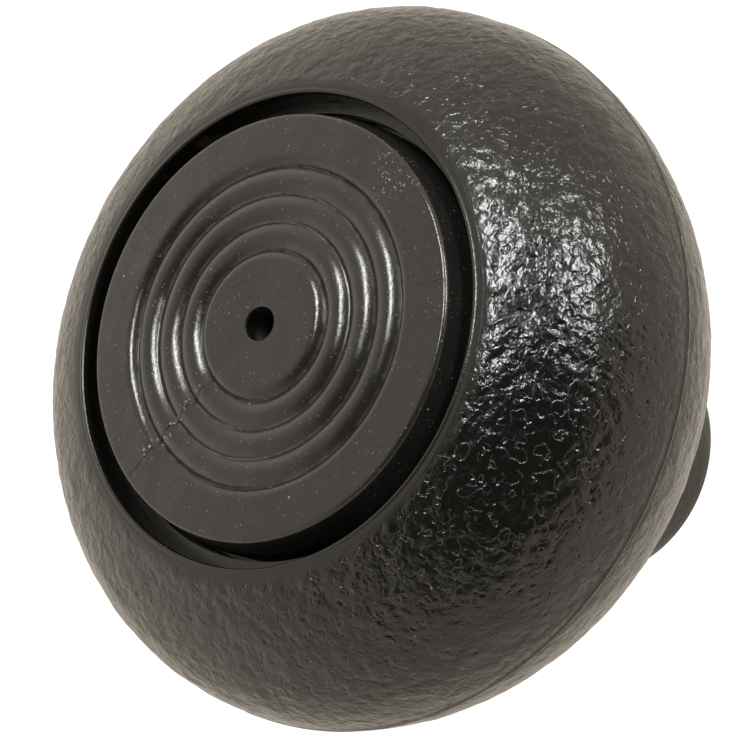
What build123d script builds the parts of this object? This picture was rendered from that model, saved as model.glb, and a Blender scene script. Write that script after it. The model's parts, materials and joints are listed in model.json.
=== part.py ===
from build123d import *
import math
import os

# A lever knob with a push button in its front, in millimetres.
# The origin is the centre of the neck's end face, where the lever enters.
# +Z runs along the knob's axis, from the neck to the button.

# Grip: two moulded shells that meet at the widest circle
GRIP_RADIUS = 27.0
SEAM_HEIGHT = 33.0
FRONT_RISE = 15.3        # the front's curve would reach the axis this far above the seam
FRONT_FULLNESS = 2.2     # exponent of the curve: 2 is an ellipse, more is flatter on top
REAR_DROP = 23.0         # the rear's curve would reach the axis this far below the seam
REAR_FULLNESS = 1.7      # less than 2 is more conical
WALL = 2.6
SPIGOT_WALL = 1.2        # the rear shell's spigot inside the seam
SPIGOT_HEIGHT = 1.5
SPIGOT_GAP = 0.1
CURVE_POINTS = 9         # points that carry each of the shells' curves

# Neck
NECK_RADIUS = 10.4
NECK_CHAMFER = 0.3

# Recess in the front shell that the button sits in. A rise is a height above the seam.
RECESS_RADIUS = 17.15    # side wall of the visible groove
RIM_FLARE = 0.1          # how far the groove's wall leans out towards the rim
RIM_CHAMFER = 0.15
LEDGE_RISE = 9.8        # floor of the visible groove
LIP_RISE = 8.5           # underside of the lip that keeps the button in
BUTTON_GAP = 0.3         # between the button's skirt and the lip

# Button
BUTTON_TRAVEL = 1.5
DISC_RISE = 13.35
DISC_RADIUS = 15.6
DISC_CROWN = 0.62        # the disc's top is this much lower at its edge
DISC_EDGE_ROUND = 0.35
DISC_THICKNESS = 2.7
SKIRT_RADIUS = 16.1
SKIRT_WALL = 1.1
FLANGE_RADIUS = 17.6
FLANGE_THICKNESS = 1.2
RIB_PITCH = 2.06
RIB_COUNT = 3
FIRST_VALLEY = 5.5       # radius of the innermost valley
VALLEY_DEPTH = 0.45
VALLEY_HALF_WIDTH = 0.56
CENTRE_HOLE_RADIUS = 1.25
CENTRE_HOLE_EDGE = 0.15  # thickness of the disc at the hole, above the bore's conical end
BOSS_RADIUS = 4.4
BOSS_LENGTH = 5.2
REST_GAP = 0.05          # free play of the button at each end of its travel

# Damping ring under the lip
DAMPER_THICKNESS = 0.8
DAMPER_OVERHANG = 0.6    # how far it reaches out past the flange
DAMPER_SET_BACK = 0.3    # how far it lies back from the lip's bore

# Plunger, its guide and its clip
PLUNGER_RADIUS = 2.0
PLUNGER_IN_BOSS = 4.1
GUIDE_CLEARANCE = 0.05
GUIDE_WALL = 1.2
GUIDE_FLANGE = 1.0
GUIDE_FLANGE_THICKNESS = 0.8
CLIP_THICKNESS = 0.5
CLIP_RADIUS = 3.4
CLIP_GROOVE_DEPTH = 0.5
WASHER_RADIUS = 3.8
WASHER_THICKNESS = 0.4
PLUNGER_TAIL = 1.0       # plunger beyond the clip
CLIP_PLAY = 0.1          # between the plunger's washer and the guide at rest

# Switch carrier
CARRIER_RISE = 3.5
CARRIER_THICKNESS = 2.5
CARRIER_EDGE_GAP = 0.7   # from the carrier's edge to the shell
HUB_RADIUS = 5.0
HUB_DROP = 1.8
STOP_RING_WALL = 2.0
WIRE_HOLE_RADIUS = 1.0
WIRE_HOLE_CIRCLE = 13.2
WIRE_HOLE_ANGLE = 25.0
SHEET_THICKNESS = 0.5
SHEET_RADIUS = 16.0

# Return spring and its seat
SPRING_MEAN_RADIUS = 5.6
SPRING_WIRE_RADIUS = 0.3
SPRING_TURNS = 5
SEAT_THICKNESS = 0.4
SEAT_OVERHANG = 0.5

# Contacts
STRIP_THICKNESS = 0.6
STRIP_WIDTH = 4.4
STRIP_INNER = 7.1
STRIP_OUTER = 14.9
TIP_RADIUS = 1.1
TIP_HEIGHT = 0.5
TIP_CIRCLE = 10.75
CONTACT_GAP = 0.1        # left between the ring and the tips at full travel
RING_THICKNESS = 0.5
RING_HALF_WIDTH = 1.45
RIVET_RADIUS = 0.45
RIVET_HEAD_RADIUS = 0.75
RIVET_HEAD = 0.4
RIVET_CIRCLE = 8.0
RIVET_SPREAD = 1.3
POST_RADIUS = 1.3
TERMINAL_CIRCLE = 13.6
TERMINAL_RADIUS = 0.6
TERMINAL_HEAD_RADIUS = 1.1
TERMINAL_HEAD = 0.8
TERMINAL_WASHER_RADIUS = 1.3
TERMINAL_WASHER = 0.3
TERMINAL_TAIL = 0.8      # screw beyond the insulating disc

# Lever bush
BUSH_RADIUS = 6.5
BUSH_DROP = 13.0         # from the seam down to the bush's shoulder
BUSH_FLANGE_RADIUS = 8.4
BUSH_FLANGE_THICKNESS = 2.0
BUSH_KNURL_BITE = 0.2    # how far the knurl bites into the neck
BUSH_KNURL_LENGTH = 5.0
BUSH_SOCKET_WALL = 3.0   # plastic round the bush inside the shell
LEVER_THREAD_RADIUS = 4.25
THREAD_CHAMFER = 0.5

# Screws, three of each, on one circle and in turn round it
SCREW_CIRCLE = 20.8
SCREWS_EACH = 3
SCREW_BOSS_RADIUS = 2.4
SCREW_RADIUS = 1.1
SCREW_HOLE_GAP = 0.15
SCREW_HEAD_RADIUS = 2.1
SCREW_HEAD = 1.4
SCREW_SLOT = 0.5
CARRIER_SCREW_BITE = 3.0     # length of screw in the shell's boss
SHELL_SCREW_BITE = 5.0
SHELL_SCREW_SEAT = 6.5       # depth of the head's seat below the seam
SEAT_WALL = 1.1              # plastic round the screw head's well
HOLE_END_GAP = 0.5

# Places worked out from the sizes above
LEDGE_HEIGHT = SEAM_HEIGHT + LEDGE_RISE
LIP_HEIGHT = SEAM_HEIGHT + LIP_RISE
DISC_TOP = SEAM_HEIGHT + DISC_RISE
CARRIER_TOP = SEAM_HEIGHT + CARRIER_RISE
LIP_RADIUS = SKIRT_RADIUS + BUTTON_GAP
RIM_RADIUS = RECESS_RADIUS + RIM_FLARE
DISC_UNDERSIDE = DISC_TOP - DISC_THICKNESS
DAMPER_UNDERSIDE = LIP_HEIGHT - DAMPER_THICKNESS
FLANGE_TOP = DAMPER_UNDERSIDE - REST_GAP
FLANGE_UNDERSIDE = FLANGE_TOP - FLANGE_THICKNESS
STOP_TOP = FLANGE_UNDERSIDE - BUTTON_TRAVEL - REST_GAP
CENTRE_CONE_FOOT = DISC_TOP - CENTRE_HOLE_EDGE - (PLUNGER_RADIUS - CENTRE_HOLE_RADIUS)
BOSS_END = DISC_UNDERSIDE - BOSS_LENGTH
PLUNGER_TOP = BOSS_END + PLUNGER_IN_BOSS
CARRIER_UNDERSIDE = CARRIER_TOP - CARRIER_THICKNESS
HUB_END = CARRIER_UNDERSIDE - HUB_DROP
GUIDE_RADIUS = PLUNGER_RADIUS + GUIDE_CLEARANCE + GUIDE_WALL
GUIDE_END = HUB_END - GUIDE_FLANGE_THICKNESS
WASHER_TOP = GUIDE_END - CLIP_PLAY
CLIP_TOP = WASHER_TOP - WASHER_THICKNESS
CLIP_UNDERSIDE = CLIP_TOP - CLIP_THICKNESS
PLUNGER_END = CLIP_UNDERSIDE - PLUNGER_TAIL
SHEET_UNDERSIDE = CARRIER_UNDERSIDE - SHEET_THICKNESS
SEAT_TOP = CARRIER_TOP + SEAT_THICKNESS
STRIP_TOP = CARRIER_TOP + STRIP_THICKNESS
TIP_TOP = STRIP_TOP + TIP_HEIGHT
RING_UNDERSIDE = TIP_TOP + CONTACT_GAP + BUTTON_TRAVEL
RING_TOP = RING_UNDERSIDE + RING_THICKNESS
SHELL_SCREW_HEAD_SEAT = SEAM_HEIGHT - SHELL_SCREW_SEAT
WELL_RADIUS = SCREW_HEAD_RADIUS + 2 * SCREW_HOLE_GAP
BUSH_LENGTH = SEAM_HEIGHT - BUSH_DROP
BUSH_TOP = BUSH_LENGTH + BUSH_FLANGE_THICKNESS
CARRIER_SCREW_ANGLES = [360 / SCREWS_EACH * turn for turn in range(SCREWS_EACH)]
SHELL_SCREW_ANGLES = [angle + 180 / SCREWS_EACH for angle in CARRIER_SCREW_ANGLES]
POST_ANGLES = [90 + 360 / SCREWS_EACH * turn for turn in range(SCREWS_EACH)]
CONTACT_SIDES = (0, 180)


# Helpers

def turned(*outline):
    """The solid swept round Z by a closed outline of edges, given as (radius, height)."""
    return revolve(Plane.XZ * make_face(outline), Axis.Z)


def turned_polygon(*points):
    return turned(Polyline(*points, close=True))


def rod(radius, low, high):
    return Pos(0, 0, low) * Cylinder(radius, high - low, align=(Align.CENTER, Align.CENTER, Align.MIN))


def tube(outer, inner, low, high):
    return rod(outer, low, high) - rod(inner, low, high)


def around(shape, circle, angles):
    """Copies of a shape, moved out to a circle's radius and turned to each angle."""
    return [Rot(0, 0, angle) * Pos(circle, 0, 0) * shape for angle in angles]


def group(shapes):
    """Separate solids that share one node."""
    return Compound(children=list(shapes))


def grip_curve(radius, height, fullness, end_radius):
    """Edge of a grip shell in the (radius, height) plane, from the seam in to a smaller radius."""
    def point(share):
        along = radius - (radius - end_radius) * (1 - math.cos(share * math.pi / 2))
        rise = height * (1 - (along / radius) ** fullness) ** (1 / fullness)
        return (along, SEAM_HEIGHT + rise)

    points = [point(step / (CURVE_POINTS - 1)) for step in range(CURVE_POINTS)]
    return Spline(*points, tangents=[(0, math.copysign(1, height)), end_slope(points)])


def end_slope(points):
    (r0, z0), (r1, z1), (r2, z2) = points[-3:]
    near = (r2 - r1, z2 - z1)
    far = (r1 - r0, z1 - z0)
    bend = math.hypot(*near) / math.hypot(*far)
    return (near[0] + (near[0] - far[0] * bend) / 2, near[1] + (near[1] - far[1] * bend) / 2)


def slotted_screw(radius, head_radius, head, seat, tip):
    """A screw that points up: its head is below the seat height and its shank ends at the tip height."""
    body = rod(radius, seat, tip) + rod(head_radius, seat - head, seat)
    slot = Pos(0, 0, seat - head) * Box(2.2 * head_radius, SCREW_SLOT, head)
    return body - slot


# Shells

def grip_outside(height, fullness, end_radius):
    """The full grip on one side of the seam, cut off flat at the curve's end."""
    curve = grip_curve(GRIP_RADIUS, height, fullness, end_radius)
    end = curve @ 1
    return turned(curve, Polyline(end, (0, end.Y), (0, SEAM_HEIGHT), (GRIP_RADIUS, SEAM_HEIGHT)))


def cavity_radius(rise):
    """Inner radius of the front shell at a height above the seam."""
    share = 1 - (rise / (FRONT_RISE - WALL)) ** FRONT_FULLNESS
    return (GRIP_RADIUS - WALL) * share ** (1 / FRONT_FULLNESS)


def front_shell():
    rim_radius = RIM_RADIUS + RIM_CHAMFER
    outer = grip_curve(GRIP_RADIUS, FRONT_RISE, FRONT_FULLNESS, rim_radius)
    inner_radius = GRIP_RADIUS - WALL
    inner = grip_curve(inner_radius, FRONT_RISE - WALL, FRONT_FULLNESS, cavity_radius(LIP_RISE))
    recess = Polyline(
        outer @ 1,
        (RIM_RADIUS, (outer @ 1).Y - RIM_CHAMFER),
        (RECESS_RADIUS, LEDGE_HEIGHT),
        (LIP_RADIUS, LEDGE_HEIGHT),
        (LIP_RADIUS, LIP_HEIGHT),
        inner @ 1,
    )
    shell = turned(outer, recess, inner, Line((inner_radius, SEAM_HEIGHT), (GRIP_RADIUS, SEAM_HEIGHT)))

    solid_front = grip_outside(FRONT_RISE, FRONT_FULLNESS, rim_radius)
    carrier_boss = rod(SCREW_BOSS_RADIUS, CARRIER_TOP, LIP_HEIGHT)
    shell_boss = rod(SCREW_BOSS_RADIUS, SEAM_HEIGHT, LIP_HEIGHT)
    bosses = around(carrier_boss, SCREW_CIRCLE, CARRIER_SCREW_ANGLES)
    bosses += around(shell_boss, SCREW_CIRCLE, SHELL_SCREW_ANGLES)
    for boss in bosses:
        shell += boss & solid_front

    rebate_radius = inner_radius + SPIGOT_WALL + SPIGOT_GAP
    rebate = tube(rebate_radius, inner_radius - SPIGOT_GAP,
                  SEAM_HEIGHT, SEAM_HEIGHT + SPIGOT_HEIGHT + SPIGOT_GAP)
    shell -= rebate
    carrier_hole = rod(SCREW_RADIUS, CARRIER_TOP, CARRIER_TOP + CARRIER_SCREW_BITE + HOLE_END_GAP)
    shell_hole = rod(SCREW_RADIUS, SEAM_HEIGHT, SEAM_HEIGHT + SHELL_SCREW_BITE + HOLE_END_GAP)
    for hole in around(carrier_hole, SCREW_CIRCLE, CARRIER_SCREW_ANGLES):
        shell -= hole
    for hole in around(shell_hole, SCREW_CIRCLE, SHELL_SCREW_ANGLES):
        shell -= hole
    return shell


def rear_shell():
    grip = grip_outside(-REAR_DROP, REAR_FULLNESS, NECK_RADIUS)
    inner_radius = GRIP_RADIUS - WALL
    socket_radius = BUSH_RADIUS + BUSH_SOCKET_WALL
    inner = grip_curve(inner_radius, WALL - REAR_DROP, REAR_FULLNESS, socket_radius)
    floor = inner @ 1
    cavity = turned(inner, Polyline(floor, (0, floor.Y), (0, SEAM_HEIGHT), (inner_radius, SEAM_HEIGHT)))
    spigot = tube(inner_radius + SPIGOT_WALL, inner_radius, SEAM_HEIGHT, SEAM_HEIGHT + SPIGOT_HEIGHT)
    well_wall = rod(WELL_RADIUS + SEAT_WALL, 0, SEAM_HEIGHT)
    wells = [boss & grip for boss in around(well_wall, SCREW_CIRCLE, SHELL_SCREW_ANGLES)]

    shell = grip - cavity + spigot
    for well in wells:
        shell += well - rod(2 * GRIP_RADIUS, SEAM_HEIGHT, 2 * SEAM_HEIGHT)
    shell += rod(socket_radius, floor.Y - WALL / 2, BUSH_LENGTH)

    neck = rod(NECK_RADIUS, 0, floor.Y)
    neck = chamfer(neck.edges().group_by(Axis.Z)[0], NECK_CHAMFER)
    shell += neck
    shell -= rod(BUSH_RADIUS, 0, BUSH_LENGTH)
    hole = rod(SCREW_RADIUS + SCREW_HOLE_GAP, 0, SEAM_HEIGHT)
    hole += rod(WELL_RADIUS, 0, SHELL_SCREW_HEAD_SEAT)
    for cut in around(hole, SCREW_CIRCLE, SHELL_SCREW_ANGLES):
        shell -= cut
    return shell


# Lever bush

def knurl(low, high):
    """A band of 24 points that bite into the bore."""
    corner = BUSH_RADIUS + BUSH_KNURL_BITE
    band = [Rot(0, 0, 15 * turn) * RegularPolygon(corner, 8) for turn in range(3)]
    return Pos(0, 0, low) * extrude(band[0] + band[1] + band[2], high - low)


def lever_bush():
    bush = rod(BUSH_RADIUS - BUSH_KNURL_BITE, 0, BUSH_LENGTH)
    bush += rod(BUSH_FLANGE_RADIUS, BUSH_LENGTH, BUSH_TOP)
    bush += rod(BUSH_RADIUS, 0, BUSH_KNURL_LENGTH / 2)
    for low in (BUSH_KNURL_LENGTH / 2, BUSH_LENGTH - 1.5 * BUSH_KNURL_LENGTH):
        bush += knurl(low, low + BUSH_KNURL_LENGTH)
    bush -= rod(LEVER_THREAD_RADIUS, 0, BUSH_TOP)
    return bush - rod(LEVER_THREAD_RADIUS + THREAD_CHAMFER, BUSH_TOP - THREAD_CHAMFER, BUSH_TOP)


# Button

def disc_top(radius):
    return DISC_TOP - DISC_CROWN * (radius / DISC_RADIUS) ** 2


def valley(radius):
    top = disc_top(radius)
    rise = VALLEY_DEPTH
    half = 2 * VALLEY_HALF_WIDTH
    return turned_polygon((radius, top - rise), (radius + half, top + rise), (radius - half, top + rise))


def ringed_disc():
    edge = DISC_RADIUS - DISC_EDGE_ROUND
    edge_top = disc_top(edge)
    outline = [
        ThreePointArc((CENTRE_HOLE_RADIUS, DISC_TOP), (edge / 2, disc_top(edge / 2)), (edge, edge_top)),
        RadiusArc((edge, edge_top), (DISC_RADIUS, edge_top - DISC_EDGE_ROUND), DISC_EDGE_ROUND),
        Polyline(
            (DISC_RADIUS, edge_top - DISC_EDGE_ROUND),
            (SKIRT_RADIUS, LEDGE_HEIGHT),
            (SKIRT_RADIUS, FLANGE_TOP),
            (FLANGE_RADIUS, FLANGE_TOP),
            (FLANGE_RADIUS, FLANGE_UNDERSIDE),
            (SKIRT_RADIUS - SKIRT_WALL, FLANGE_UNDERSIDE),
            (SKIRT_RADIUS - SKIRT_WALL, DISC_UNDERSIDE),
            (BOSS_RADIUS, DISC_UNDERSIDE),
            (BOSS_RADIUS, BOSS_END),
            (PLUNGER_RADIUS, BOSS_END),
            (PLUNGER_RADIUS, CENTRE_CONE_FOOT),
            (CENTRE_HOLE_RADIUS, DISC_TOP - CENTRE_HOLE_EDGE),
            (CENTRE_HOLE_RADIUS, DISC_TOP),
        ),
    ]
    disc = turned(*outline)
    for number in range(RIB_COUNT + 1):
        disc -= valley(FIRST_VALLEY + number * RIB_PITCH)
    post = rod(POST_RADIUS, RING_TOP, DISC_UNDERSIDE) - rod(RIVET_RADIUS, RING_TOP, DISC_UNDERSIDE)
    for one in around(post, TIP_CIRCLE, POST_ANGLES):
        disc += one
    return disc


def plunger():
    pin = rod(PLUNGER_RADIUS, PLUNGER_END, PLUNGER_TOP)
    groove = tube(PLUNGER_RADIUS, PLUNGER_RADIUS - CLIP_GROOVE_DEPTH, CLIP_UNDERSIDE, CLIP_TOP)
    return chamfer((pin - groove).edges().group_by(Axis.Z)[0], CLIP_GROOVE_DEPTH / 2)


def plunger_washer():
    return tube(WASHER_RADIUS, PLUNGER_RADIUS, CLIP_TOP, WASHER_TOP)


def plunger_clip():
    """An open ring that snaps into the plunger's groove from the side."""
    inner = PLUNGER_RADIUS - CLIP_GROOVE_DEPTH
    ring = tube(CLIP_RADIUS, inner, CLIP_UNDERSIDE, CLIP_TOP)
    mouth = Pos(CLIP_RADIUS / 2, 0, CLIP_UNDERSIDE) * Box(
        CLIP_RADIUS, 1.6 * inner, CLIP_THICKNESS, align=(Align.CENTER, Align.CENTER, Align.MIN))
    return ring - mouth


def contact_ring():
    ring = tube(TIP_CIRCLE + RING_HALF_WIDTH, TIP_CIRCLE - RING_HALF_WIDTH, RING_UNDERSIDE, RING_TOP)
    for hole in around(rod(RIVET_RADIUS, RING_UNDERSIDE, RING_TOP), TIP_CIRCLE, POST_ANGLES):
        ring -= hole
    return ring


def ring_rivets():
    shank = rod(RIVET_RADIUS, RING_UNDERSIDE, DISC_UNDERSIDE)
    head = rod(RIVET_HEAD_RADIUS, RING_UNDERSIDE - RIVET_HEAD, RING_UNDERSIDE)
    return group(around(shank + head, TIP_CIRCLE, POST_ANGLES))


# Switch carrier and what it holds

def switch_carrier():
    carrier = rod(cavity_radius(CARRIER_RISE) - CARRIER_EDGE_GAP, CARRIER_UNDERSIDE, CARRIER_TOP)
    carrier += rod(HUB_RADIUS, HUB_END, CARRIER_UNDERSIDE)
    carrier += tube(FLANGE_RADIUS, FLANGE_RADIUS - STOP_RING_WALL, CARRIER_TOP, STOP_TOP)
    carrier -= rod(GUIDE_RADIUS, HUB_END, CARRIER_TOP)
    notch = rod(SCREW_BOSS_RADIUS + BUTTON_GAP, CARRIER_UNDERSIDE, CARRIER_TOP)
    slot = Pos(SCREW_BOSS_RADIUS, 0, CARRIER_UNDERSIDE) * Box(
        2 * SCREW_BOSS_RADIUS, 2 * (SCREW_BOSS_RADIUS + BUTTON_GAP), CARRIER_THICKNESS,
        align=(Align.CENTER, Align.CENTER, Align.MIN))
    cuts = around(notch + slot, SCREW_CIRCLE, SHELL_SCREW_ANGLES)
    screw_hole = rod(SCREW_RADIUS + SCREW_HOLE_GAP, CARRIER_UNDERSIDE, CARRIER_TOP)
    cuts += around(screw_hole, SCREW_CIRCLE, CARRIER_SCREW_ANGLES)
    for cut in cuts + carrier_small_holes(CARRIER_UNDERSIDE, CARRIER_TOP):
        carrier -= cut
    return carrier


def rivet_places():
    return [Rot(0, 0, side) * Pos(RIVET_CIRCLE, across, 0)
            for side in CONTACT_SIDES for across in (-RIVET_SPREAD, RIVET_SPREAD)]


def carrier_small_holes(low, high):
    """Holes for the contact rivets, the terminal screws and the wires."""
    holes = [place * rod(RIVET_RADIUS, low, high) for place in rivet_places()]
    holes += around(rod(TERMINAL_RADIUS, low, high), TERMINAL_CIRCLE, CONTACT_SIDES)
    wire_angles = [side + WIRE_HOLE_ANGLE for side in CONTACT_SIDES]
    return holes + around(rod(WIRE_HOLE_RADIUS, low, high), WIRE_HOLE_CIRCLE, wire_angles)


def insulating_disc():
    sheet = tube(SHEET_RADIUS, HUB_RADIUS, SHEET_UNDERSIDE, CARRIER_UNDERSIDE)
    for hole in carrier_small_holes(SHEET_UNDERSIDE, CARRIER_UNDERSIDE):
        sheet -= hole
    return sheet


def guide_bush():
    bush = tube(GUIDE_RADIUS, PLUNGER_RADIUS + GUIDE_CLEARANCE, HUB_END, CARRIER_TOP)
    return bush + tube(GUIDE_RADIUS + GUIDE_FLANGE, PLUNGER_RADIUS + GUIDE_CLEARANCE, GUIDE_END, HUB_END)


def spring_seat():
    outer = SPRING_MEAN_RADIUS + SPRING_WIRE_RADIUS + SEAT_OVERHANG
    inner = SPRING_MEAN_RADIUS - SPRING_WIRE_RADIUS - SEAT_OVERHANG
    return tube(outer, inner, CARRIER_TOP, SEAT_TOP)


def return_spring():
    height = DISC_UNDERSIDE - SEAT_TOP - 2 * SPRING_WIRE_RADIUS
    path = Pos(0, 0, SEAT_TOP + SPRING_WIRE_RADIUS) * Helix(height / SPRING_TURNS, height, SPRING_MEAN_RADIUS)
    section = Plane(origin=path @ 0, z_dir=path % 0) * Circle(SPRING_WIRE_RADIUS)
    return sweep(section, path=path)


def fixed_contact(side):
    length = STRIP_OUTER - STRIP_INNER
    strip = Pos((STRIP_OUTER + STRIP_INNER) / 2, 0, CARRIER_TOP) * Box(
        length, STRIP_WIDTH, STRIP_THICKNESS, align=(Align.CENTER, Align.CENTER, Align.MIN))
    strip = fillet(strip.edges().filter_by(Axis.Z), STRIP_WIDTH / 4)
    for across in (-RIVET_SPREAD, RIVET_SPREAD):
        strip -= Pos(RIVET_CIRCLE, across, 0) * rod(RIVET_RADIUS, CARRIER_TOP, STRIP_TOP)
    strip -= Pos(TERMINAL_CIRCLE, 0, 0) * rod(TERMINAL_RADIUS, CARRIER_TOP, STRIP_TOP)
    return Rot(0, 0, side) * strip


def contact_tips():
    tip = chamfer(rod(TIP_RADIUS, STRIP_TOP, TIP_TOP).edges().group_by(Axis.Z)[-1], TIP_HEIGHT / 2)
    return group(around(tip, TIP_CIRCLE, CONTACT_SIDES))


def contact_rivets():
    rivet = rod(RIVET_RADIUS, SHEET_UNDERSIDE, STRIP_TOP)
    rivet += rod(RIVET_HEAD_RADIUS, STRIP_TOP, STRIP_TOP + RIVET_HEAD)
    rivet += rod(RIVET_HEAD_RADIUS, SHEET_UNDERSIDE - RIVET_HEAD, SHEET_UNDERSIDE)
    return group(place * rivet for place in rivet_places())


def terminal_screws():
    seat = STRIP_TOP + TERMINAL_WASHER
    screw = rod(TERMINAL_RADIUS, SHEET_UNDERSIDE - TERMINAL_TAIL, seat)
    screw += rod(TERMINAL_HEAD_RADIUS, seat, seat + TERMINAL_HEAD)
    slot = Pos(0, 0, seat + TERMINAL_HEAD) * Box(2.2 * TERMINAL_HEAD_RADIUS, SCREW_SLOT, TERMINAL_HEAD)
    return group(around(screw - slot, TERMINAL_CIRCLE, CONTACT_SIDES))


def terminal_washers():
    washer = tube(TERMINAL_WASHER_RADIUS, TERMINAL_RADIUS, STRIP_TOP, STRIP_TOP + TERMINAL_WASHER)
    return group(around(washer, TERMINAL_CIRCLE, CONTACT_SIDES))


# Ring and screws that hold the shells

def damping_ring():
    return tube(FLANGE_RADIUS + DAMPER_OVERHANG, LIP_RADIUS + DAMPER_SET_BACK, DAMPER_UNDERSIDE, LIP_HEIGHT)


def carrier_screws():
    tip = CARRIER_TOP + CARRIER_SCREW_BITE
    screw = slotted_screw(SCREW_RADIUS, SCREW_HEAD_RADIUS, SCREW_HEAD, CARRIER_UNDERSIDE, tip)
    return group(around(screw, SCREW_CIRCLE, CARRIER_SCREW_ANGLES))


def shell_screws():
    tip = SEAM_HEIGHT + SHELL_SCREW_BITE
    screw = slotted_screw(SCREW_RADIUS, SCREW_HEAD_RADIUS, SCREW_HEAD, SHELL_SCREW_HEAD_SEAT, tip)
    return group(around(screw, SCREW_CIRCLE, SHELL_SCREW_ANGLES))


os.makedirs("parts", exist_ok=True)
nodes = {
    "front_shell": front_shell(),
    "rear_shell": rear_shell(),
    "lever_bush": lever_bush(),
    "ringed_disc": ringed_disc(),
    "plunger": plunger(),
    "plunger_washer": plunger_washer(),
    "plunger_clip": plunger_clip(),
    "contact_ring": contact_ring(),
    "ring_rivets": ring_rivets(),
    "switch_carrier": switch_carrier(),
    "insulating_disc": insulating_disc(),
    "guide_bush": guide_bush(),
    "spring_seat": spring_seat(),
    "return_spring": return_spring(),
    "fixed_contact_left": fixed_contact(CONTACT_SIDES[1]),
    "fixed_contact_right": fixed_contact(CONTACT_SIDES[0]),
    "contact_tips": contact_tips(),
    "contact_rivets": contact_rivets(),
    "terminal_screws": terminal_screws(),
    "terminal_washers": terminal_washers(),
    "damping_ring": damping_ring(),
    "carrier_screws": carrier_screws(),
    "shell_screws": shell_screws(),
}
for name, shape in nodes.items():
    export_step(shape, f"parts/{name}.step")
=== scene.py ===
import json
import math

import bmesh
import bpy
from mathutils import Matrix, Vector


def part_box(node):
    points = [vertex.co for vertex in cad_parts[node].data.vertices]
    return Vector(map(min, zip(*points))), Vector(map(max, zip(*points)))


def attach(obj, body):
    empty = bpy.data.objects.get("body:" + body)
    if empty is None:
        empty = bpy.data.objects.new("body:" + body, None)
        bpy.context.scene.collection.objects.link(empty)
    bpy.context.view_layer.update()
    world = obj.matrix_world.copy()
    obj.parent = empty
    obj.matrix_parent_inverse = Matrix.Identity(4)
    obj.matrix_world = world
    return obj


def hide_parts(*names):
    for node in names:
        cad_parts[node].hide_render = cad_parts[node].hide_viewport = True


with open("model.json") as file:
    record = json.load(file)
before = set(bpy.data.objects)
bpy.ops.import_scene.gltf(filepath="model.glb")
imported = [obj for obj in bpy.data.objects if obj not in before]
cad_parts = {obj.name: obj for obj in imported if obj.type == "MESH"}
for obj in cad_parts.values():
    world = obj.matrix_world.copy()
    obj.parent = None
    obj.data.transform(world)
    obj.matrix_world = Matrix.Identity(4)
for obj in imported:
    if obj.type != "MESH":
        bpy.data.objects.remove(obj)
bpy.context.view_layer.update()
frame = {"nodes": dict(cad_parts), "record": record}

MM = 0.001
HALF_TURN = math.pi
FULL_TURN = 2 * math.pi

# Sizes read from the frame, in millimetres
FRONT_LOW, FRONT_HIGH = (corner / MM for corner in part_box("front_shell"))
DISC_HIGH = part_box("ringed_disc")[1] / MM
BUSH_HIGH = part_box("lever_bush")[1] / MM
PLUNGER_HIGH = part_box("plunger")[1] / MM
RING_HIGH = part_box("contact_ring")[1] / MM
CARRIER_SCREW_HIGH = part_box("carrier_screws")[1] / MM
SHELL_SCREW_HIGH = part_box("shell_screws")[1] / MM
DAMPER_LOW, DAMPER_HIGH = (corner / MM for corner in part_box("damping_ring"))

# Grip
GRIP_RADIUS = FRONT_HIGH.x
SEAM = FRONT_LOW.z
FRONT_RISE = 15.3
FRONT_FULLNESS = 2.2
REAR_DROP = 23.0
REAR_FULLNESS = 1.7
WALL = 2.6
NECK_RADIUS = 10.4
NECK_ROUND = 0.4
NECK_GRAIN = 0.35        # the grain's strength on the neck, of 1 on the grip
SOCKET_RADIUS = 9.5
BUSH_BORE = 6.5
BUSH_STAND = 2.0         # the bush ends this far above its bore in the neck
SPIGOT_RADIUS = GRIP_RADIUS - 1.4
SPIGOT_HEIGHT = 1.5
SPIGOT_GAP = 0.1
SEAM_RIDGE = 0.09        # the moulding's ridge stands this proud of the grip at the seam
SEAM_RIDGE_WIDTH = 0.18
SEAM_RIDGE_ROWS = (0.03, 0.07, 0.11, 0.15, 0.20, 0.27)
SEAM_GROOVE = 0.05       # depth of the hairline in the ridge's crest
SEAM_GRAIN = 0.2         # the grain's strength at the seam, and how far off it is full
SEAM_FADE = 0.8
BROAD_SWELL = 0.20       # heights of the leather's larger and smaller waves
CLOSE_SWELL = 0.12

# Recess round the button
RIM_RADIUS = 17.25
RIM_MARGIN = (           # smooth band and small bead at the rim: distance outwards, rise
    (0.85, 0.0), (0.65, 0.05), (0.45, 0.07), (0.36, 0.08), (0.28, 0.125),
    (0.20, 0.15), (0.12, 0.145), (0.05, 0.10), (0.0, 0.0),
)
RECESS_RADIUS = 17.15
LEDGE = SEAM + 9.8
LIP_RADIUS = 16.4
LIP_UNDERSIDE = DAMPER_HIGH.z

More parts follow.
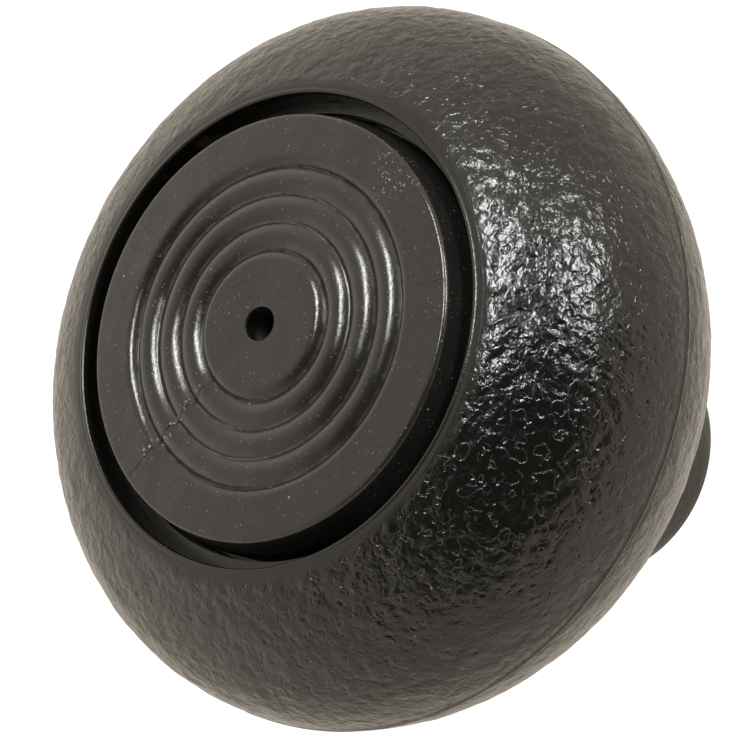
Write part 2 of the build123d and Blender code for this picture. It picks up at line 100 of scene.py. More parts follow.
# Button
DISC_TOP = DISC_HIGH.z
DISC_RADIUS = 15.6
DISC_CROWN = 0.62
DISC_UNDERSIDE = DISC_TOP - 2.7
SKIRT_RADIUS = 16.1
SKIRT_BORE = 15.0
FLANGE_RADIUS = DISC_HIGH.x
FLANGE_TOP = DAMPER_LOW.z - 0.05
FLANGE_UNDERSIDE = FLANGE_TOP - 1.2
CENTRE_HOLE = 1.25
BOSS_RADIUS = 4.4
BOSS_END = DISC_UNDERSIDE - 5.2
PLUNGER_RADIUS = PLUNGER_HIGH.x
FIRST_VALLEY = 5.5
RIB_PITCH = 2.06
RIB_COUNT = 3
VALLEY_DEPTH = 0.45
VALLEY_REACH = 0.8       # how far the flats beside the ribs round off towards a valley
CENTRE_HOLE_EDGE = 0.15
LAST_VALLEY = FIRST_VALLEY + RIB_COUNT * RIB_PITCH
DISC_EDGE_ROUND = 0.4
DISH_DEPTH = 0.12        # how far the disc's middle is hollowed
VALLEY_DUST = 0.16         # dust lies this far to each side of a valley
KNIT_ANGLE = 153.5       # degrees round the axis of the knit line and the gate's mark
GATE_ANGLE = -62
RUBBED_PLACE = (13.0, -6.4, SEAM + 12.9)
POST_RADIUS = 1.3
POST_CIRCLE = 10.75

# Screws
SCREW_CIRCLE = 20.8
SCREW_BOSS_RADIUS = 2.4
SCREW_RADIUS = 1.1
WELL_RADIUS = 2.4
WELL_WALL = 1.1
SCREW_SEAT = SEAM - 6.5
CARRIER_TOP = SEAM + 3.5
THIRDS = [FULL_TURN / 3 * turn for turn in range(3)]
SIXTHS = [angle + HALF_TURN / 3 for angle in THIRDS]
QUARTERED_THIRDS = [angle + HALF_TURN / 2 for angle in THIRDS]

# Camera: where it stands round the knob, how it is rolled and how far off it is
VIEW_TILT = math.radians(38.44)          # between the knob's axis and the line of sight
VIEW_ROLL = math.radians(-69.4)
VIEW_DISTANCE = 221.4
VIEW_ANGLE = math.radians(14.06)
VIEW_SHIFT = Vector((-0.09, 0.37))       # where the grip's middle lies beside the line of sight

PANEL_DISTANCE = 0.7     # metres from the knob to the lights
FLOOR_RADIUS = 3.0
FLOOR_DROP = 0.2         # millimetres from the neck's end down to the floor

# Mesh fineness: steps round the axis, and rows along an outline
SHELL_STEPS = 600
DISC_STEPS = 480
CORE_STEPS = 96
TOOL_STEPS = 48
FRONT_ROWS = 84
REAR_ROWS = 100
NECK_ROWS = 24
CORE_ROWS = 24
INNER_ROWS = 14
ARC_ROWS = 6
RIB_ROWS = 116
FLAT_ROWS = 12


# Shader maths

class Value:
    """A number that varies over a surface. Arithmetic on it adds Math nodes."""

    def __init__(self, graph, socket):
        self.graph = graph
        self.socket = socket

    def math(self, operation, *others):
        return self.graph.math(operation, self, *others)

    def __add__(self, other):
        return self.math("ADD", other)

    def __radd__(self, other):
        return self.graph.math("ADD", other, self)

    def __sub__(self, other):
        return self.math("SUBTRACT", other)

    def __rsub__(self, other):
        return self.graph.math("SUBTRACT", other, self)

    def __mul__(self, other):
        return self.math("MULTIPLY", other)

    def __rmul__(self, other):
        return self.graph.math("MULTIPLY", other, self)

    def absolute(self):
        return self.math("ABSOLUTE")

    def at_most(self, other):
        return self.math("MINIMUM", other)

    def at_least(self, other):
        return self.math("MAXIMUM", other)

    def step(self, low, high):
        """0 below low and 1 above high, smooth between; the other way round if high is the lower."""
        return self.graph.node(
            "ShaderNodeMapRange", {"interpolation_type": "SMOOTHERSTEP"},
            {"Value": self, "From Min": low, "From Max": high},
        )


class Graph:
    """A node tree that is filled by calls."""

    def __init__(self, tree):
        self.tree = tree

    def node(self, kind, settings=None, inputs=None, output=0):
        """Adds a node. Values and links go to sockets by name or number; one output comes back."""
        made = self.tree.nodes.new(kind)
        for name, setting in (settings or {}).items():
            setattr(made, name, setting)
        for name, given in (inputs or {}).items():
            self.feed(made.inputs[name], given)
        return Value(self, made.outputs[output])

    def feed(self, socket, given):
        if isinstance(given, Value):
            self.tree.links.new(given.socket, socket)
        else:
            socket.default_value = given

    def math(self, operation, *terms):
        return self.node("ShaderNodeMath", {"operation": operation}, dict(enumerate(terms)))

    def vector(self, operation, *terms):
        return self.node("ShaderNodeVectorMath", {"operation": operation}, dict(enumerate(terms)))

    def measure(self, operation, one, other):
        """A vector operation whose result is a number."""
        return self.node(
            "ShaderNodeVectorMath", {"operation": operation}, {0: one, 1: other}, "Value")

    def dot(self, one, other):
        return self.measure("DOT_PRODUCT", one, other)

    def mix(self, factor, one, other):
        return self.node(
            "ShaderNodeMix", {"data_type": "RGBA"}, {"Factor": factor, 6: one, 7: other}, 2)

    def noise(self, place, scale, detail=2.0, roughness=0.5, output="Fac"):
        return self.node(
            "ShaderNodeTexNoise", None,
            {"Vector": place, "Scale": scale, "Detail": detail, "Roughness": roughness}, output)

    def cells(self, place, scale, output="Distance"):
        return self.node("ShaderNodeTexVoronoi", None, {"Vector": place, "Scale": scale}, output)

    def distance(self, one, other):
        return self.measure("DISTANCE", one, other)

    def scaled(self, place, scale):
        return self.node("ShaderNodeVectorMath", {"operation": "SCALE"}, {0: place, "Scale": scale})

    def millimetres(self, place):
        return self.scaled(place, 1 / MM)

    def warped(self, place, scale, amount):
        """The place moved about by a soft noise, in every direction."""
        shift = self.vector("SUBTRACT", self.noise(place, scale, output="Color"), (0.5, 0.5, 0.5))
        return self.vector("ADD", place, self.scaled(shift, amount))


def leather_swell(graph, place):
    """The larger waves of the moulded leather in millimetres, for a place in millimetres."""
    bent = graph.warped(place, 0.5, 1.2)
    broad = graph.noise(bent, 0.40, detail=1.0)
    return BROAD_SWELL * broad + CLOSE_SWELL * graph.noise(bent, 0.95, detail=1.0)


def leather_grain(graph, place):
    """Height of the fine grain: small mounds, round pits and winding creases."""
    bent = graph.warped(place, 0.9, 0.8)
    strength = 0.45 + 1.3 * graph.noise(place, 0.13, detail=1.0)
    mounds = graph.noise(bent, 1.25, detail=2.5, roughness=0.4)
    where = graph.noise(place, 0.7, detail=1.0)
    pits = graph.cells(bent, 1.15).step(0.36, 0.12) * where.step(0.43, 0.54)
    creases = winding(graph, bent, 0.9, (3.1, 7.7, 5.3)) * where.step(0.55, 0.48)
    return strength * (0.15 * mounds - 0.050 * pits - 0.026 * creases)


def winding(graph, place, scale, shift):
    """1 along thin winding lines, 0 between them."""
    field = graph.noise(graph.vector("ADD", place, shift), scale, detail=1.0)
    return (field - 0.5).absolute().step(0.045, 0.0)


# Materials

def new_material(name):
    material = bpy.data.materials.new(name)
    material.use_nodes = True
    graph = Graph(material.node_tree)
    shader = material.node_tree.nodes["Principled BSDF"]
    place = graph.millimetres(graph.node("ShaderNodeTexCoord", output="Object"))
    return material, graph, shader, place


def dress(graph, shader, colour, roughness, height):
    """Feeds a shader its colour, roughness and a bump from a height in millimetres."""
    graph.feed(shader.inputs["Base Color"], colour)
    graph.feed(shader.inputs["Roughness"], roughness)
    bump = graph.node(
        "ShaderNodeBump", None, {"Height": height, "Distance": MM, "Strength": 1.0}, "Normal")
    graph.feed(shader.inputs["Normal"], bump)


def specks(graph, place, size, spacing, share):
    """Scattered dust specks: 0 between them and up to 1 on the brightest."""
    bent = graph.warped(place, 3.0, 0.25)
    near = 1 - graph.cells(bent, 1 / spacing).step(size / spacing * 0.5, size / spacing)
    colour = graph.cells(bent, 1 / spacing, "Color")
    chance = graph.node("ShaderNodeSeparateColor", None, {"Color": colour}, "Red")
    shine = graph.node("ShaderNodeSeparateColor", None, {"Color": colour}, "Green")
    return near * chance.step(1 - share, 1 - share + 0.01) * (0.3 + 0.7 * shine * shine)


def radial_line(graph, place, degrees, low, high, half_width, waver):
    """1 on a thin uneven line that runs straight out from the knob's axis, 0 elsewhere."""
    angle = math.radians(degrees)
    out = (math.cos(angle), math.sin(angle), 0)
    side = (-math.sin(angle), math.cos(angle), 0)
    away = (graph.dot(place, side) + (graph.noise(place, 0.6, detail=3.0) - 0.5) * waver).absolute()
    along = graph.dot(place, out)
    ends = along.step(low, low + 0.4) * along.step(high, high - 0.4)
    return away.step(half_width, half_width * 0.4) * ends


def leather_plastic():
    """Black moulded plastic with a leather grain, smooth where the grain attribute is 0."""
    material, graph, shader, place = new_material("leather_grained_plastic")
    grained = graph.node("ShaderNodeAttribute", {"attribute_name": "grain"}, output="Fac")
    dirty = graph.node("ShaderNodeAttribute", {"attribute_name": "groove"}, output="Fac")
    cloud = graph.noise(place, 0.12, detail=4.0)
    dust = specks(graph, place, 0.08, 0.9, 0.16)
    line = radial_line(graph, place, -33, 19.0, 24.0, 0.05, 0.9) * grained
    far_side = graph.dot(place, (0.05, 0.01, 0.0)).step(0.3, 0.8)
    grime = dirty * far_side * graph.noise(place, 0.5, detail=3.0).step(0.5, 0.7)
    tone = graph.mix(cloud, (0.0035, 0.0033, 0.0028, 1), (0.0055, 0.0051, 0.0044, 1))
    tone = graph.mix(grime, tone, (0.035, 0.024, 0.012, 1))
    tone = graph.mix(dust, tone, (0.22, 0.19, 0.15, 1))
    pores = graph.noise(place, 6.5, detail=2.0)
    height = leather_grain(graph, place) * grained + pores * 0.012 - line * 0.05
    roughness = 0.15 + 0.07 * cloud + 0.07 * pores + 0.3 * grime + 0.4 * dust
    dress(graph, shader, tone, roughness, height)
    return material


def disc_plastic():
    """Satin black plastic, rubbed by thumbs, with a knit line where the moulding's flow met."""
    material, graph, shader, place = new_material("ringed_disc_plastic")
    in_valley = graph.node("ShaderNodeAttribute", {"attribute_name": "groove"}, output="Fac")
    cloud = graph.noise(place, 0.2, detail=4.0)
    knit = radial_line(graph, place, KNIT_ANGLE, 5.0, 15.2, 0.12, 1.3)
    gate = radial_line(graph, place, GATE_ANGLE, 12.8, 15.5, 0.07, 0.5)
    line = knit.at_least(gate * 0.8)
    near_knit = radial_line(graph, place, KNIT_ANGLE, 6.0, 14.0, 0.8, 1.3)
    crumbs = specks(graph, place, 0.14, 0.35, 0.55) * near_knit
    rubbed = graph.distance(place, RUBBED_PLACE).step(3.0, 0.8)
    scuffs = specks(graph, place, 0.10, 0.22, 0.6) * rubbed * graph.noise(place, 1.6).step(0.4, 0.6)
    valley_dust = in_valley * graph.noise(place, 0.9, detail=3.0).step(0.32, 0.60)
    fine_dust = specks(graph, place, 0.07, 0.30, 0.40)
    coarse_dust = specks(graph, place, 0.10, 1.3, 0.30)
    dust = (0.4 * fine_dust + 0.8 * coarse_dust + crumbs + scuffs).at_most(1.0)
    brushed = graph.vector("MULTIPLY", graph.warped(place, 0.4, 1.5), (8.0, 0.6, 1.0))
    scratches = graph.noise(brushed, 1.0, detail=3.0).step(0.68, 0.76)
    tone = graph.mix(cloud, (0.0090, 0.0086, 0.0076, 1), (0.0150, 0.0142, 0.0128, 1))
    tone = graph.mix(valley_dust * 0.6, tone, (0.075, 0.058, 0.040, 1))
    tone = graph.mix(dust, tone, (0.30, 0.26, 0.20, 1))
    tone = graph.mix(line * 0.8, tone, (0.003, 0.003, 0.0025, 1))
    fine = graph.noise(place, 7.0, detail=3.0)
    ripple = graph.noise(place, 0.35, detail=1.0)
    height = 0.012 * fine + 0.12 * ripple - 0.07 * line + 0.006 * scratches
    roughness = 0.13 + 0.06 * cloud + 0.08 * fine + 0.10 * scratches + 0.15 * dust
    dress(graph, shader, tone, roughness.at_most(0.9), height)
    return material


def plain_plastic(name, colour, darker, roughness):
    """Moulded plastic or rubber seen only when the knob is opened."""
    material, graph, shader, place = new_material(name)
    cloud = graph.noise(place, 0.25, detail=5.0)
    fine = graph.noise(place, 6.0, detail=3.0)
    tone = graph.mix(cloud, (*darker, 1), (*colour, 1))
    dress(graph, shader, tone, roughness + 0.15 * fine, 0.012 * fine)
    return material


def fibre_sheet():
    """Vulcanised fibre: red-brown, with short fibres laid one way."""
    material, graph, shader, place = new_material("vulcanised_fibre")
    strands = graph.noise(graph.vector("MULTIPLY", place, (9.0, 1.2, 4.0)), 1.0, detail=4.0)
    tone = graph.mix(strands, (0.20, 0.045, 0.03, 1), (0.38, 0.11, 0.07, 1))
    dress(graph, shader, tone, 0.55 + 0.2 * strands, 0.02 * strands)
    return material


def metal(name, colour, tarnish, roughness, lay):
    """Bare metal whose fine marks run along the lay vector's small axes."""
    material, graph, shader, place = new_material(name)
    marks = graph.noise(graph.vector("MULTIPLY", place, lay), 1.0, detail=4.0, roughness=0.7)
    stain = graph.noise(place, 0.4, detail=5.0).step(0.45, 0.8)
    tone = graph.mix(stain * 0.7, (*colour, 1), (*tarnish, 1))
    shader.inputs["Metallic"].default_value = 1.0
    dress(graph, shader, tone, roughness + 0.12 * marks + 0.18 * stain, 0.004 * marks)
    return material


def make_materials():
    """One material for each of the record's slots."""
    turned_lay = (1.5, 1.5, 14.0)
    flat_lay = (14.0, 1.5, 5.0)
    brass, brass_stain = (0.72, 0.52, 0.24), (0.34, 0.22, 0.10)
    steel, steel_stain = (0.56, 0.56, 0.57), (0.33, 0.31, 0.29)
    return {
        "black_plastic": leather_plastic(),
        "disc_plastic": disc_plastic(),
        "carrier_plastic": plain_plastic(
            "phenolic_brown", (0.13, 0.07, 0.04), (0.08, 0.04, 0.025), 0.4),
        "fibre_sheet": fibre_sheet(),
        "ring_rubber": plain_plastic(
            "soft_rubber", (0.035, 0.035, 0.034), (0.018, 0.018, 0.018), 0.7),
        "bush_brass": metal("knurled_brass", brass, brass_stain, 0.28, turned_lay),
        "guide_brass": metal("turned_brass", brass, brass_stain, 0.22, turned_lay),
        "contact_brass": metal("stamped_brass", (0.76, 0.57, 0.29), brass_stain, 0.3, flat_lay),
        "contact_bronze": metal(
            "phosphor_bronze", (0.66, 0.40, 0.22), (0.30, 0.16, 0.09), 0.3, flat_lay),
        "contact_silver": metal(
            "dull_silver", (0.80, 0.79, 0.76), (0.35, 0.33, 0.30), 0.3, flat_lay),
        "rivet_brass": metal("headed_brass", brass, brass_stain, 0.35, turned_lay),
        "screw_brass": metal("screw_brass", (0.75, 0.56, 0.28), brass_stain, 0.3, turned_lay),
        "plunger_steel": metal("ground_steel", steel, steel_stain, 0.16, turned_lay),
        "washer_steel": metal("stamped_steel", steel, steel_stain, 0.35, flat_lay),
        "clip_steel": metal(
            "blackened_steel", (0.12, 0.12, 0.13), (0.20, 0.13, 0.09), 0.4, flat_lay),
        "spring_steel": metal("spring_wire", (0.48, 0.48, 0.5), steel_stain, 0.25, flat_lay),
        "screw_steel": metal(
            "zinc_plated_steel", (0.60, 0.60, 0.58), (0.44, 0.42, 0.36), 0.32, turned_lay),
    }


# Mesh helpers. Outlines are lists of (radius, height, grain, groove) in millimetres.

def superellipse(radius, height, fullness, end_radius, rows):
    """Points from the seam in to a smaller radius, both ends included."""
    end = math.acos((end_radius / radius) ** (fullness / 2))
    power = 2 / fullness
    turns = [end * row / rows for row in range(rows + 1)]
    return [(radius * math.cos(t) ** power, SEAM + height * math.sin(t) ** power) for t in turns]


def straight(start, end, rows):
    """Points from the start up to but not including the end."""
    return [
        (start[0] + (end[0] - start[0]) * row / rows, start[1] + (end[1] - start[1]) * row / rows)
        for row in range(rows)
    ]


def rounded(centre, radius, start, end, rows):
    """An arc's points; the angles are from +radius towards +height."""
    angles = [start + (end - start) * row / rows for row in range(rows + 1)]
    return [(centre[0] + radius * math.cos(a), centre[1] + radius * math.sin(a)) for a in angles]


def marked(points, grain=0.0, groove=0.0):
    return [(r, z, grain, groove) for r, z in points]


def spun(name, outline, steps):
    """A closed outline turned once round the knob's axis."""
    mesh = bmesh.new()
    grain = mesh.verts.layers.float.new("grain")
    groove = mesh.verts.layers.float.new("groove")
    ring = []
    for radius, height, grained, dirty in outline:
        vert = mesh.verts.new((radius * MM, 0, height * MM))
        vert[grain] = grained
        vert[groove] = dirty
        ring.append(vert)
    edges = [mesh.edges.new((one, other)) for one, other in zip(ring, ring[1:] + ring[:1])]
    bmesh.ops.spin(
        mesh, geom=ring + edges, cent=(0, 0, 0), axis=(0, 0, 1), dvec=(0, 0, 0),
        angle=FULL_TURN, steps=steps, use_merge=True)
    bmesh.ops.recalc_face_normals(mesh, faces=mesh.faces)
    return finished(name, mesh)


def rods(name, radius, low, high, circle, angles):
    """Upright round bars at each angle of a circle, as one tool."""
    mesh = bmesh.new()
    for angle in angles:
        bar = bmesh.ops.create_cone(
            mesh, cap_ends=True, segments=TOOL_STEPS, radius1=radius * MM, radius2=radius * MM,
            depth=(high - low) * MM)
        middle = (circle * math.cos(angle) * MM, circle * math.sin(angle) * MM, (low + high) / 2 * MM)
        bmesh.ops.translate(mesh, verts=bar["verts"], vec=middle)
    return finished(name, mesh)


def finished(name, mesh):
    data = bpy.data.meshes.new(name)
    mesh.to_mesh(data)
    mesh.free()
    piece = bpy.data.objects.new(name, data)
    bpy.context.scene.collection.objects.link(piece)
    return piece


def settle(piece):
    """Applies the piece's modifiers to its mesh."""
    graph = bpy.context.evaluated_depsgraph_get()
    solid = bpy.data.meshes.new_from_object(piece.evaluated_get(graph))
    rough = piece.data
    piece.modifiers.clear()
    piece.data = solid
    bpy.data.meshes.remove(rough)
    solid.name = piece.name


def discard(piece):
    data = piece.data
    bpy.data.objects.remove(piece)
    bpy.data.meshes.remove(data)


def combine(piece, tool, operation):
    """UNION, DIFFERENCE or INTERSECT of a piece with a tool, which is used up."""
    change = piece.modifiers.new("combine", "BOOLEAN")
    change.operation = operation
    change.solver = "MANIFOLD"
    change.object = tool
    settle(piece)
    discard(tool)


def smooth(piece, angle=35):
    """Smooth shading, with sharp edges where faces meet at more than the angle, in degrees."""
    piece.data.polygons.foreach_set("use_smooth", [True] * len(piece.data.polygons))
    piece.data.set_sharp_from_angle(angle=math.radians(angle))


def press_grain(piece):
    """Moves the surface by the leather grain, where its grain attribute allows it."""
    group = bpy.data.node_groups.new("leather_relief", "GeometryNodeTree")
    group.interface.new_socket("Geometry", in_out="INPUT", socket_type="NodeSocketGeometry")
    group.interface.new_socket("Geometry", in_out="OUTPUT", socket_type="NodeSocketGeometry")
    graph = Graph(group)
    shape = graph.node("NodeGroupInput")
    place = graph.millimetres(graph.node("GeometryNodeInputPosition"))
    grained = graph.node(
        "GeometryNodeInputNamedAttribute", {"data_type": "FLOAT"}, {"Name": "grain"}, "Attribute")
    middle = (BROAD_SWELL + CLOSE_SWELL) / 2
    rise = (leather_swell(graph, place) - middle) * grained * MM
    normal = graph.node("GeometryNodeInputNormal")
    offset = graph.scaled(normal, rise)
    moved = graph.node("GeometryNodeSetPosition", None, {"Geometry": shape, "Offset": offset})
    result = group.nodes.new("NodeGroupOutput")
    group.links.new(moved.socket, result.inputs[0])
    relief = piece.modifiers.new("relief", "NODES")
    relief.node_group = group
    settle(piece)


def place_piece(piece, body, node, material):
    """A new piece that stands for a CAD node."""
    piece.data.materials.clear()
    piece.data.materials.append(material)
    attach(piece, body)
    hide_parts(node)


# Shells

def grip_core(radius, height, fullness, end_radius):
    """A plain solid inside the wall, which trims the screw bosses."""
    curve = superellipse(radius, height, fullness, end_radius, CORE_ROWS)
    end = curve[-1]
    outline = curve + [(0.01, end[1]), (0.01, SEAM)]
    return spun("core", marked(outline), CORE_STEPS)


def front_outline():
    """The front shell, from the seam over the grained surface, down the recess and back inside."""
    inner_radius = GRIP_RADIUS - WALL
    inner_rise = FRONT_RISE - WALL
    roof_share = 1 - ((LIP_UNDERSIDE - SEAM) / inner_rise) ** FRONT_FULLNESS
    roof_radius = inner_radius * roof_share ** (1 / FRONT_FULLNESS)
    skin_end = RIM_RADIUS + RIM_MARGIN[0][0]
    outer = superellipse(GRIP_RADIUS, FRONT_RISE, FRONT_FULLNESS, skin_end, FRONT_ROWS)
    edge_radius, rim_height = outer[-1]
    skin = ridge_rows(FRONT_RISE, FRONT_FULLNESS) + [
        (r, z, grain_share(z - SEAM) * min(1.0, (r - edge_radius) / 0.5), 0.0)
        for r, z in outer if z - SEAM > 0.3
    ]
    rim = [(RIM_RADIUS + away, rim_height + rise) for away, rise in RIM_MARGIN[1:]]
    wall = straight(rim[-1], (RECESS_RADIUS, LEDGE), 4)[1:]
    ledge = straight((RECESS_RADIUS, LEDGE), (LIP_RADIUS, LEDGE), 2)
    lip = straight((LIP_RADIUS, LEDGE), (LIP_RADIUS, LIP_UNDERSIDE), 2)
    roof_line = [(LIP_RADIUS, LIP_UNDERSIDE)]
    inner = superellipse(inner_radius, inner_rise, FRONT_FULLNESS, roof_radius, INNER_ROWS)
    rebate_top = SEAM + SPIGOT_HEIGHT + SPIGOT_GAP
    inside = [point for point in reversed(inner) if point[1] > rebate_top]
    rebate_radius = SPIGOT_RADIUS + SPIGOT_GAP
    rebate = [(inside[-1][0], rebate_top), (rebate_radius, rebate_top), (rebate_radius, SEAM)]
    edge = [(GRIP_RADIUS + SEAM_RIDGE - SEAM_GROOVE, SEAM)]
    return (
        marked(edge) + skin + marked(rim) + marked(wall + ledge, groove=1.0)
        + marked(lip + roof_line + inside + rebate)
    )


def ridge_rows(height, fullness):
    """The thin ridge that the mould left beside the seam."""
    rows = []
    for away in SEAM_RIDGE_ROWS:
        radius = GRIP_RADIUS * (1 - (away / abs(height)) ** fullness) ** (1 / fullness)
        stand = SEAM_RIDGE * math.exp(-(away / SEAM_RIDGE_WIDTH) ** 2)
        rows.append((radius + stand, SEAM + math.copysign(away, height), grain_share(away), 0.0))
    return rows


def grain_share(away):
    """The grain fades near the seam."""
    return min(1.0, away / SEAM_FADE + SEAM_GRAIN)


def make_front_shell(material):
    shell = spun("front_shell_grained", front_outline(), SHELL_STEPS)
    bosses = rods("bosses", SCREW_BOSS_RADIUS, CARRIER_TOP, LIP_UNDERSIDE, SCREW_CIRCLE, THIRDS)
    longer = rods("longer", SCREW_BOSS_RADIUS, SEAM, LIP_UNDERSIDE, SCREW_CIRCLE, SIXTHS)
    combine(bosses, longer, "UNION")
    half_wall = WALL / 2
    core = grip_core(GRIP_RADIUS - half_wall, FRONT_RISE - half_wall, FRONT_FULLNESS, RIM_RADIUS)
    combine(bosses, core, "INTERSECT")
    combine(shell, bosses, "UNION")
    carrier_tip, shell_tip = CARRIER_SCREW_HIGH.z + 0.5, SHELL_SCREW_HIGH.z + 0.5
    holes = rods("holes", SCREW_RADIUS, CARRIER_TOP - 1, carrier_tip, SCREW_CIRCLE, THIRDS)
    longer = rods("longer", SCREW_RADIUS, SEAM - 1, shell_tip, SCREW_CIRCLE, SIXTHS)
    combine(holes, longer, "UNION")
    combine(shell, holes, "DIFFERENCE")
    smooth(shell)
    press_grain(shell)
    place_piece(shell, "knob", "front_shell", material)


def rear_outline():
    """The rear shell, from the seam over the grained surface and the neck, and back up inside."""
    inner_radius = GRIP_RADIUS - WALL
    outer = superellipse(GRIP_RADIUS, -REAR_DROP, REAR_FULLNESS, NECK_RADIUS + 0.25, REAR_ROWS)
    skin = ridge_rows(-REAR_DROP, REAR_FULLNESS) + [
        (r, z, grain_share(SEAM - z), 0.0) for r, z in outer if SEAM - z > 0.3
    ]
    neck_top = outer[-1][1] - 0.35
    neck = straight((NECK_RADIUS, neck_top), (NECK_RADIUS, NECK_ROUND), NECK_ROWS)
    foot_middle = (NECK_RADIUS - NECK_ROUND, NECK_ROUND)
    foot = rounded(foot_middle, NECK_ROUND, 0, -HALF_TURN / 2, ARC_ROWS)
    mouth = [(BUSH_BORE, 0)]
    bore_top = BUSH_HIGH.z - BUSH_STAND
    bore = [(BUSH_BORE, bore_top), (SOCKET_RADIUS, bore_top)]
    inner = superellipse(inner_radius, WALL - REAR_DROP, REAR_FULLNESS, SOCKET_RADIUS, INNER_ROWS)
    inside = list(reversed(inner))
    spigot = [
        (inner_radius, SEAM + SPIGOT_HEIGHT),
        (SPIGOT_RADIUS, SEAM + SPIGOT_HEIGHT),
        (SPIGOT_RADIUS, SEAM),
        (GRIP_RADIUS + SEAM_RIDGE - SEAM_GROOVE, SEAM),
    ]
    return (
        skin + marked(neck, grain=NECK_GRAIN) + marked(foot + mouth + bore + inside + spigot)
    )


def make_rear_shell(material):
    shell = spun("rear_shell_grained", rear_outline(), SHELL_STEPS)
    half_wall = WALL / 2
    bosses = rods("bosses", WELL_RADIUS + WELL_WALL, 1, SEAM, SCREW_CIRCLE, SIXTHS)
    core = grip_core(GRIP_RADIUS - half_wall, half_wall - REAR_DROP, REAR_FULLNESS, NECK_RADIUS)
    combine(bosses, core, "INTERSECT")
    combine(shell, bosses, "UNION")
    wells = rods("wells", WELL_RADIUS, 1, SCREW_SEAT, SCREW_CIRCLE, SIXTHS)
    holes = rods("holes", SCREW_RADIUS + 0.15, 1, SEAM + 2, SCREW_CIRCLE, SIXTHS)
    combine(wells, holes, "UNION")
    combine(shell, wells, "DIFFERENCE")
    smooth(shell)
    press_grain(shell)
    place_piece(shell, "knob", "rear_shell", material)


# Ringed disc

def crown(radius):
    return DISC_TOP - DISC_CROWN * (radius / DISC_RADIUS) ** 2


def valley_distance(radius):
    """How far a radius is from the middle of the nearest valley."""
    number = min(max(round((radius - FIRST_VALLEY) / RIB_PITCH), 0), RIB_COUNT)
    return abs(radius - FIRST_VALLEY - number * RIB_PITCH)


def rib_height(radius):
    """Height of the disc's top: a dished middle, then round-topped ribs with sharp valleys."""
    dish = DISH_DEPTH * max(0.0, 1 - (radius / (FIRST_VALLEY - VALLEY_REACH)) ** 2)
    reach = RIB_PITCH / 2 if FIRST_VALLEY < radius < LAST_VALLEY else VALLEY_REACH
    share = max(0.0, 1 - valley_distance(radius) / reach)
    return crown(radius) - dish - VALLEY_DEPTH * share ** 1.9


def top_radii(start, end):
    """Radii across the disc's top, close together over the ribs."""
    ribs_start, ribs_end = FIRST_VALLEY - VALLEY_REACH, LAST_VALLEY + VALLEY_REACH
    spans = (
        (start, ribs_start, FLAT_ROWS), (ribs_start, ribs_end, RIB_ROWS), (ribs_end, end, FLAT_ROWS))
    return [low + (high - low) * row / rows for low, high, rows in spans for row in range(rows)]


def disc_outline():
    """The button's cap, from the centre hole over the ribs, down the skirt and back inside."""
    edge = DISC_RADIUS - DISC_EDGE_ROUND
    start = CENTRE_HOLE + 0.06
    hole_top = rib_height(start) - 0.05
    top = [
        (radius, rib_height(radius), 0.0, max(0.0, 1 - valley_distance(radius) / VALLEY_DUST))
        for radius in top_radii(start, edge)
    ]
    turn = rounded(
        (edge, crown(edge) - DISC_EDGE_ROUND), DISC_EDGE_ROUND, HALF_TURN / 2, 0, ARC_ROWS)
    side = straight(turn[-1], (SKIRT_RADIUS, LEDGE), 3)[1:] + [(SKIRT_RADIUS, LEDGE)]
    flange = [
        (SKIRT_RADIUS, FLANGE_TOP),
        (FLANGE_RADIUS, FLANGE_TOP),
        (FLANGE_RADIUS, FLANGE_UNDERSIDE),
        (SKIRT_BORE, FLANGE_UNDERSIDE),
        (SKIRT_BORE, DISC_UNDERSIDE),
    ]
    boss = [
        (BOSS_RADIUS, DISC_UNDERSIDE),
        (BOSS_RADIUS, BOSS_END),
        (PLUNGER_RADIUS, BOSS_END),
        (PLUNGER_RADIUS, hole_top - CENTRE_HOLE_EDGE - PLUNGER_RADIUS + CENTRE_HOLE),
        (CENTRE_HOLE, hole_top - CENTRE_HOLE_EDGE),
        (CENTRE_HOLE, hole_top),
    ]
    return top + marked(turn + side + flange + boss)


def make_disc(material):
    disc = spun("ringed_disc_moulded", disc_outline(), DISC_STEPS)
    posts = rods("posts", POST_RADIUS, RING_HIGH.z, DISC_UNDERSIDE + 0.3, POST_CIRCLE, QUARTERED_THIRDS)
    combine(disc, posts, "UNION")
    holes = rods("holes", 0.45, RING_HIGH.z - 1, DISC_UNDERSIDE, POST_CIRCLE, QUARTERED_THIRDS)
    combine(disc, holes, "DIFFERENCE")
    smooth(disc, angle=30)
    place_piece(disc, "push_button", "ringed_disc", material)


# Floor, light and camera

def view_axes():
    """The camera's right, up and backward directions in the knob's frame."""
    back = Vector((0, -math.sin(VIEW_TILT), math.cos(VIEW_TILT)))
    level = Vector((1, 0, 0))
    rise = back.cross(level)
    right = level * math.cos(VIEW_ROLL) + rise * math.sin(VIEW_ROLL)
    up = rise * math.cos(VIEW_ROLL) - level * math.sin(VIEW_ROLL)
    return right, up, back


def grip_middle():
    return Vector((0, 0, SEAM * MM))


def make_camera():
    right, up, back = view_axes()
    data = bpy.data.cameras.new("camera")
    data.angle = VIEW_ANGLE
    camera = bpy.data.objects.new("camera", data)
    bpy.context.scene.collection.objects.link(camera)
    turn = Matrix((right, up, back)).transposed()
    place = grip_middle() + (VIEW_DISTANCE * back - VIEW_SHIFT.x * right - VIEW_SHIFT.y * up) * MM
    camera.matrix_world = Matrix.Translation(place) @ turn.to_4x4()
    data.clip_start = 0.01
    data.clip_end = 10
    bpy.context.scene.camera = camera


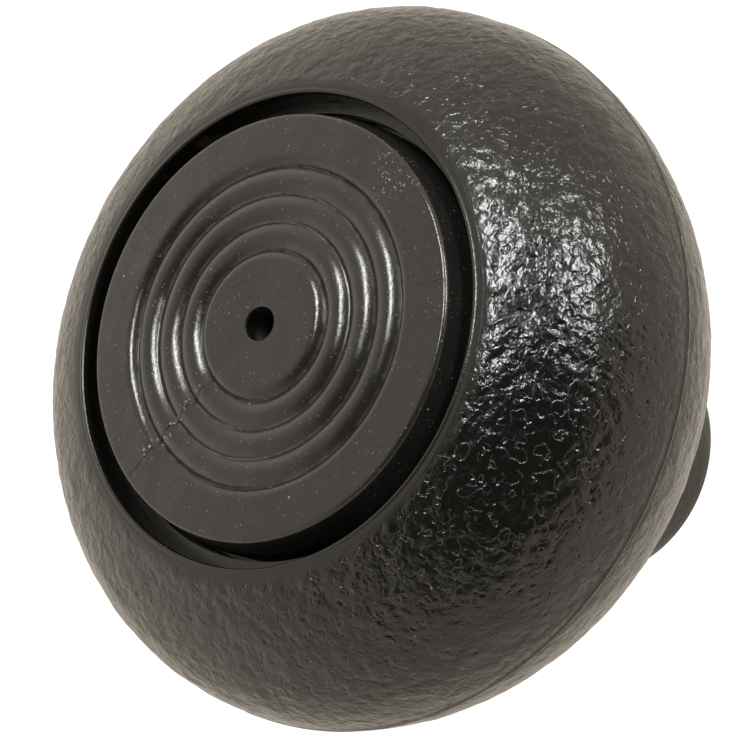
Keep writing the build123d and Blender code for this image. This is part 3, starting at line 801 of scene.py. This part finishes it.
def make_panel(name, azimuth, elevation, width, height, watts):
    """A soft light placed round the line of sight, in degrees and metres, facing the knob."""
    right, up, back = view_axes()
    a, e = math.radians(azimuth), math.radians(elevation)
    out = right * math.sin(a) * math.cos(e) + up * math.sin(e) + back * math.cos(a) * math.cos(e)
    data = bpy.data.lights.new(name, "AREA")
    data.shape = "RECTANGLE"
    data.size, data.size_y = width, height
    data.energy = watts
    lamp = bpy.data.objects.new(name, data)
    bpy.context.scene.collection.objects.link(lamp)
    tall = (up - out * up.dot(out)).normalized()
    wide = tall.cross(out)
    turn = Matrix((wide, tall, out)).transposed()
    lamp.matrix_world = Matrix.Translation(grip_middle() + out * PANEL_DISTANCE) @ turn.to_4x4()


def make_lights():
    make_panel("left_strip", -21, 36, 0.065, 0.40, 4.5)
    make_panel("right_strip", 27, 33, 0.09, 0.27, 2.9)


def make_surroundings():
    """A white room in warm light, bright all round and dark behind the camera."""
    world = bpy.data.worlds.new("room")
    bpy.context.scene.world = world
    world.use_nodes = True
    graph = Graph(world.node_tree)
    facing = graph.dot(graph.node("ShaderNodeTexCoord", output="Generated"), view_axes()[2])
    seen = graph.node("ShaderNodeLightPath", output="Is Camera Ray")
    glow = facing.step(0.92, 0.42) + 0.35 * facing.step(0.35, -0.2) - 0.35 * facing.step(-0.4, -1.0)
    background = world.node_tree.nodes["Background"]
    graph.feed(background.inputs["Color"], graph.mix(seen, (1.0, 0.92, 0.80, 1), (1.0, 1.0, 1.0, 1)))
    graph.feed(background.inputs["Strength"], glow.at_least(seen))


def make_floor():
    mesh = bmesh.new()
    bmesh.ops.create_circle(mesh, cap_ends=True, segments=96, radius=FLOOR_RADIUS)
    bmesh.ops.translate(mesh, verts=mesh.verts, vec=(0, 0, -FLOOR_DROP * MM))
    floor = finished("floor", mesh)
    material = bpy.data.materials.new("white_floor")
    material.use_nodes = True
    graph = Graph(material.node_tree)
    shader = material.node_tree.nodes["Principled BSDF"]
    shader.inputs["Base Color"].default_value = (0.20, 0.19, 0.17, 1)
    shader.inputs["Roughness"].default_value = 0.9
    shader.inputs["Emission Strength"].default_value = 1.0
    seen = graph.node("ShaderNodeLightPath", output="Is Camera Ray")
    graph.feed(shader.inputs["Emission Color"], graph.mix(seen, (0.70, 0.62, 0.52, 1), (1, 1, 1, 1)))
    floor.data.materials.append(material)


# Assembly

materials = make_materials()
slots = {part["node"]: part["material_slot"] for part in frame["record"]["subparts"]}
for node, part in frame["nodes"].items():
    part.data.materials.clear()
    part.data.materials.append(materials[slots[node]])
make_front_shell(materials["black_plastic"])
make_rear_shell(materials["black_plastic"])
make_disc(materials["disc_plastic"])
make_camera()
make_lights()
make_surroundings()
make_floor()
bpy.context.scene.view_settings.view_transform = "Standard"
